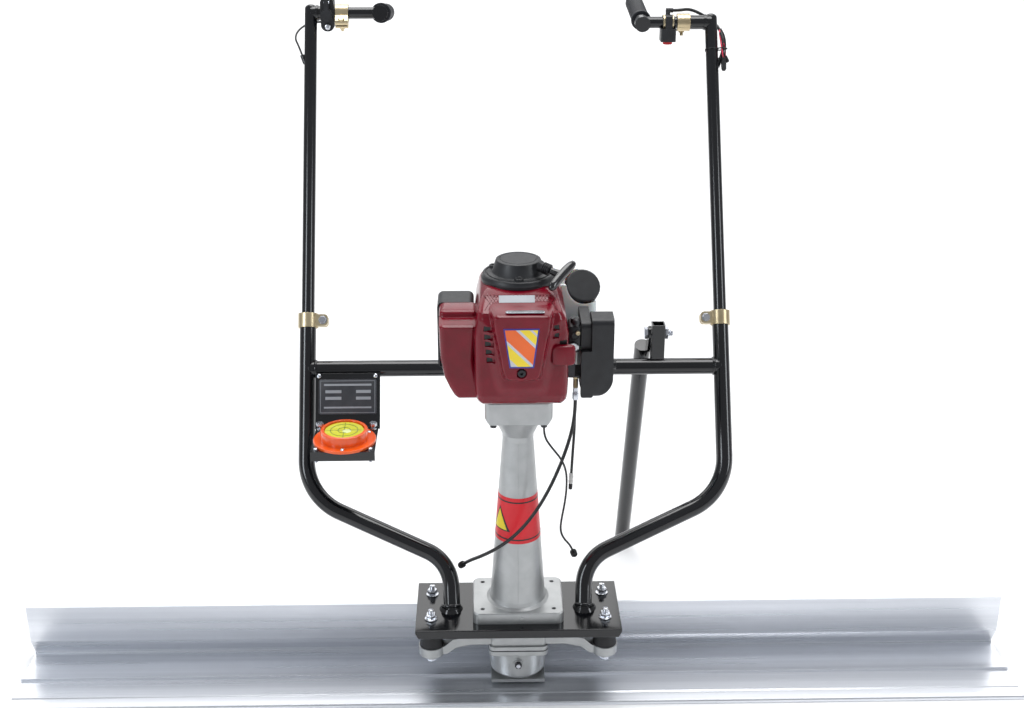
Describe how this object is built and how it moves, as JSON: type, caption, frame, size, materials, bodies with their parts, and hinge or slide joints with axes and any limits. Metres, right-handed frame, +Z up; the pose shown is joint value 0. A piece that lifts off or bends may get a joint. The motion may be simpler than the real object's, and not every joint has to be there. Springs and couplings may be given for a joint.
{
  "type": "power screed",
  "caption": "Motor-driven concrete screed: long straight blade, eccentric exciter, cast drive column with small engine, and a tubular frame with two telescopic handles.",
  "frame": {"origin": "the point on the blade's sole, at floor level, that the drive axis passes through", "axes": "+X along the blade, +Y towards the operator who walks behind it, +Z up along the drive column"},
  "size_m": [1.5, 0.6972, 0.9671],
  "materials": {
    "blade": "extruded, satin",
    "cast_aluminium": "cast, satin",
    "black_paint": "gloss paint on steel tube",
    "rubber": "matte",
    "grip_rubber": "matte, ribbed",
    "machined_steel": "turned and ground",
    "flywheel_aluminium": "cast",
    "name_plate": "anodised dark, light border",
    "level_orange": "gloss moulded",
    "level_vial": "clear, yellow-green fluid",
    "red_shroud": "gloss moulded",
    "muffler_steel": "heat-dulled",
    "black_plastic": "fine texture",
    "tank_white": "translucent blow-moulded",
    "red_button": "gloss",
    "yellow_zinc": "yellow-passivated zinc",
    "zinc": "bright zinc plate",
    "black_oxide": "black oxide",
    "cable_sheath": "satin PVC"
  },
  "bodies": {
    "machine": {"blade": "blade", "blade_shoe": "cast_aluminium", "exciter_housing": "cast_aluminium", "exciter_yoke": "cast_aluminium", "rubber_mounts": "rubber", "ball_bearings": "machined_steel", "base_plate": "black_paint", "frame_tube_left": "black_paint", "frame_tube_right": "black_paint", "crossbar": "black_paint", "level_bracket": "black_paint", "name_plate": "name_plate", "level_housing": "level_orange", "level_vial": "level_vial", "drive_column": "cast_aluminium", "clutch_housing": "cast_aluminium", "crankcase": "cast_aluminium", "cylinder": "cast_aluminium", "engine_shroud": "red_shroud", "top_cover": "red_shroud", "muffler": "muffler_steel", "muffler_guard": "black_plastic", "recoil_housing": "black_plastic", "carburettor": "cast_aluminium", "air_cleaner_case": "black_plastic", "air_cleaner_cover": "black_plastic", "fuel_tank": "tank_white", "cable_adjuster": "yellow_zinc", "tube_clamps": "yellow_zinc", "zinc_fasteners": "zinc", "socket_screws": "black_oxide", "throttle_cable": "cable_sheath", "stop_wire": "cable_sheath", "engine_lead": "cable_sheath", "cable_grommets": "rubber"},
    "drive_train": {"drive_shaft": "machined_steel", "clutch_drum": "machined_steel", "eccentric_shaft": "machined_steel"},
    "crank_train": {"crankshaft": "machined_steel", "flywheel": "flywheel_aluminium", "clutch_shoes": "machined_steel"},
    "left_post": {"upper_tube_left": "black_paint", "handle_clamp_left": "yellow_zinc", "throttle_housing": "black_plastic", "handle_cable": "cable_sheath"},
    "right_post": {"upper_tube_right": "black_paint", "handle_clamp_right": "yellow_zinc", "switch_wires": "cable_sheath"},
    "left_handle": {"handle_arm_left": "black_paint", "grip_left": "grip_rubber"},
    "right_handle": {"handle_arm_right": "black_paint", "grip_right": "grip_rubber", "stop_switch": "black_plastic"},
    "throttle_lever": {"throttle_lever": "black_plastic"},
    "stop_button": {"stop_button": "red_button"},
    "stand_leg": {"stand_leg": "black_paint"},
    "fuel_cap": {"fuel_cap": "black_plastic"},
    "starter_grip": {"starter_grip": "black_plastic"},
    "choke_lever": {"choke_lever": "black_plastic"},
    "carb_lever": {"carb_lever": "machined_steel"}
  },
  "joints": [
    {"name": "drive_spin", "type": "hinge", "parent": "machine", "child": "drive_train", "pos_m": [0, 0, 0.3], "axis": [0, 0, 1], "continuous": true},
    {"name": "crank_spin", "type": "hinge", "parent": "machine", "child": "crank_train", "pos_m": [0, 0, 0.55], "axis": [0, 0, 1], "continuous": true},
    {"name": "left_tube_height", "type": "slide", "parent": "machine", "child": "left_post", "axis": [0, 0.5, 0.866], "range_m": [-0.06, 0.09]},
    {"name": "right_tube_height", "type": "slide", "parent": "machine", "child": "right_post", "axis": [0, 0.5, 0.866], "range_m": [-0.06, 0.09]},
    {"name": "left_grip_angle", "type": "hinge", "parent": "left_post", "child": "left_handle", "pos_m": [-0.27, 0.4545, 0.92407], "axis": [1, 0, 0], "range_deg": [-30, 40]},
    {"name": "right_grip_angle", "type": "hinge", "parent": "right_post", "child": "right_handle", "pos_m": [0.27, 0.446, 0.90935], "axis": [1, 0, 0], "range_deg": [-40, 30]},
    {"name": "throttle_turn", "type": "hinge", "parent": "left_post", "child": "throttle_lever", "pos_m": [-0.2885, 0.4365, 0.92407], "axis": [0, 1, 0], "range_deg": [0, 60]},
    {"name": "stop_press", "type": "slide", "parent": "right_handle", "child": "stop_button", "axis": [0, 0, 1], "range_m": [0, 0.003], "stiffness_N_per_m": 600},
    {"name": "leg_swing", "type": "hinge", "parent": "machine", "child": "stand_leg", "pos_m": [0.196, 0.186, 0.485], "axis": [1, 0, 0], "range_deg": [0, 100]},
    {"name": "cap_turn", "type": "hinge", "parent": "machine", "child": "fuel_cap", "pos_m": [0.0915, 0.075, 0.597], "axis": [0.1497, -0.7284, 0.6686], "continuous": true},
    {"name": "starter_pull", "type": "slide", "parent": "machine", "child": "starter_grip", "axis": [0.8135, -0.5443, -0.2048], "range_m": [0, 0.45], "stiffness_N_per_m": 15, "springref_m": -0.2},
    {"name": "choke_turn", "type": "hinge", "parent": "machine", "child": "choke_lever", "pos_m": [0.076, -0.024, 0.587], "axis": [0, 0, 1], "range_deg": [-10, 25]},
    {"name": "carb_lever_turn", "type": "hinge", "parent": "machine", "child": "carb_lever", "pos_m": [0.073, -0.046, 0.556], "axis": [0, -1, 0], "range_deg": [0, 30]}
  ],
  "couplings": [
    {"joint": "crank_spin", "follows": "drive_spin", "ratio": 1},
    {"joint": "carb_lever_turn", "follows": "throttle_turn", "ratio": 0.5}
  ]
}
